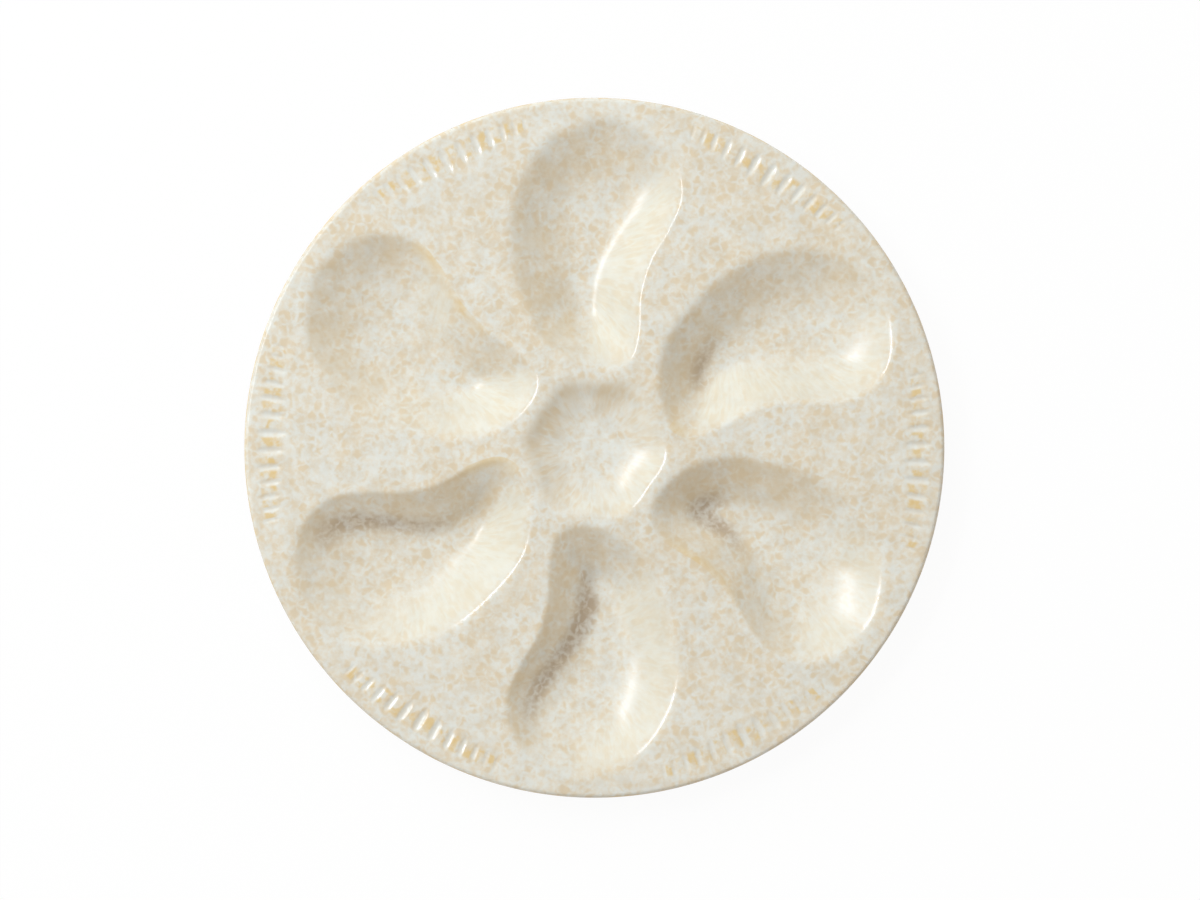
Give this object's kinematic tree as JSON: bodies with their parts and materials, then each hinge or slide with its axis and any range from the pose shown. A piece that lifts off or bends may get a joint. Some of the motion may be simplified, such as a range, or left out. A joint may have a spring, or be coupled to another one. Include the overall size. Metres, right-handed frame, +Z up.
{
  "type": "oyster platter",
  "caption": "Round glazed stoneware oyster platter with curved shell-shaped wells round a central sauce well, fluted along its rim and standing on a foot ring.",
  "frame": {"origin": "centre of the platter, on the table it stands on", "axes": "+Z up out of the face, +Y from the centre along one oyster well, +X to the right of that well as seen from above"},
  "size_m": [0.25, 0.25, 0.0203],
  "materials": {
    "fired_clay": "fired stoneware under the glaze, dull",
    "bare_foot_clay": "bare fired stoneware, wiped clean of glaze, fine grained and dull",
    "mottled_face_glaze": "glossy cream glaze with tan and pale grey mottling, amber where it breaks over the flutes and the rim",
    "plain_back_glaze": "glossy cream glaze, lightly mottled"
  },
  "bodies": {
    "root": {"clay_body": "fired_clay", "foot_ring": "bare_foot_clay", "face_glaze": "mottled_face_glaze", "back_glaze_outer": "plain_back_glaze", "back_glaze_inner": "plain_back_glaze"}
  },
  "joints": []
}
